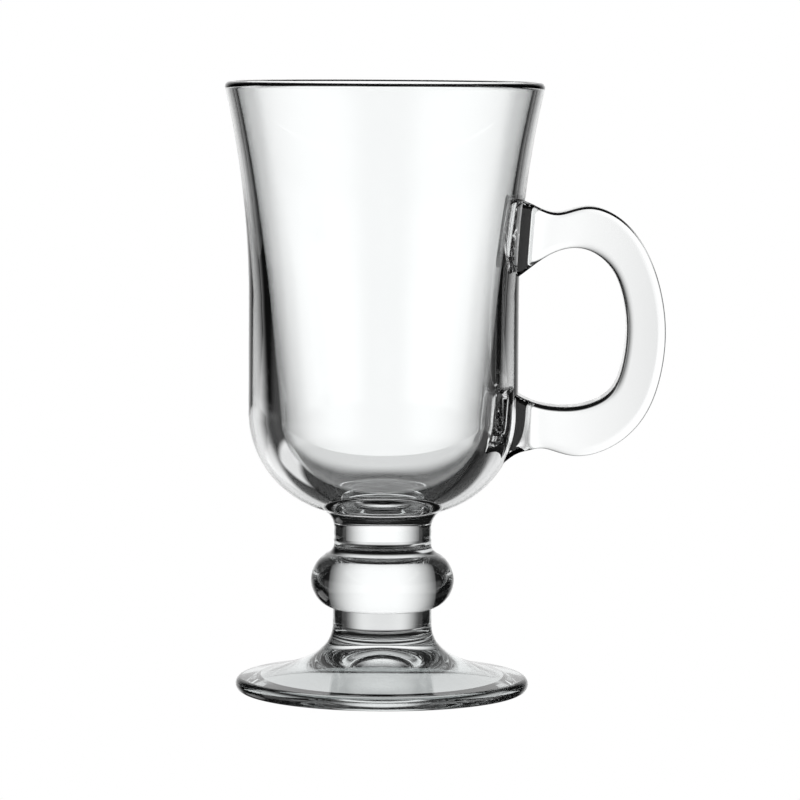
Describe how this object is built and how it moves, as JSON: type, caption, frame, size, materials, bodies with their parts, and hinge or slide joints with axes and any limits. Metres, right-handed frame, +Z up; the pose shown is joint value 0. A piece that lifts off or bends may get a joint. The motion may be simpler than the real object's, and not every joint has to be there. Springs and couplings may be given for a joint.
{
  "type": "irish coffee glass mug",
  "caption": "Flared clear-glass mug on a short knopped stem and a round foot, with one loop handle, for hot drinks such as Irish coffee.",
  "frame": {"origin": "on the table under the middle of the foot, on the axis of the glass", "axes": "+Z up along the axis of the glass, +X towards the handle, +Y to its left seen from outside the handle"},
  "size_m": [0.1067, 0.0772, 0.148],
  "materials": {
    "clear_glass": "fire-polished, clear",
    "foot_glass": "fire-polished, clear with a faint green tint where it is thick"
  },
  "bodies": {
    "root": {"bowl": "clear_glass", "stem_neck": "clear_glass", "stem_knop": "clear_glass", "stem_collar": "clear_glass", "foot": "foot_glass", "handle": "clear_glass"}
  },
  "joints": []
}
